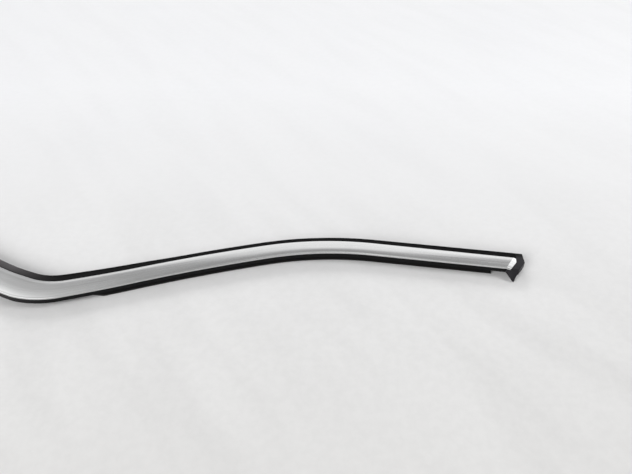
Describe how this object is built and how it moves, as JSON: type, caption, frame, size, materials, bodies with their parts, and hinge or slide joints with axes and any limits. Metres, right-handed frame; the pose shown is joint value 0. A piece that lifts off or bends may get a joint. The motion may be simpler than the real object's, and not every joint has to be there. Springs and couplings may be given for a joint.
{
  "type": "window moulding",
  "caption": "Curved outer window moulding for a car's rear side door: a satin bright strip on a black rubber channel, with a chevron end cap.",
  "frame": {"origin": "middle of the bounding box, on the plane the moulding rests on", "axes": "+X to the front end, +Y to the glass side, +Z away from the door, through the bright face"},
  "size_m": [0.7054, 0.1246, 0.0152],
  "materials": {
    "satin_bright": "satin",
    "black_rubber": "matte",
    "dark_plastic": "matte"
  },
  "bodies": {
    "root": {"bright_cover": "satin_bright", "seal_profile": "black_rubber", "front_end_cap": "dark_plastic", "rear_end_cap": "dark_plastic"}
  },
  "joints": []
}
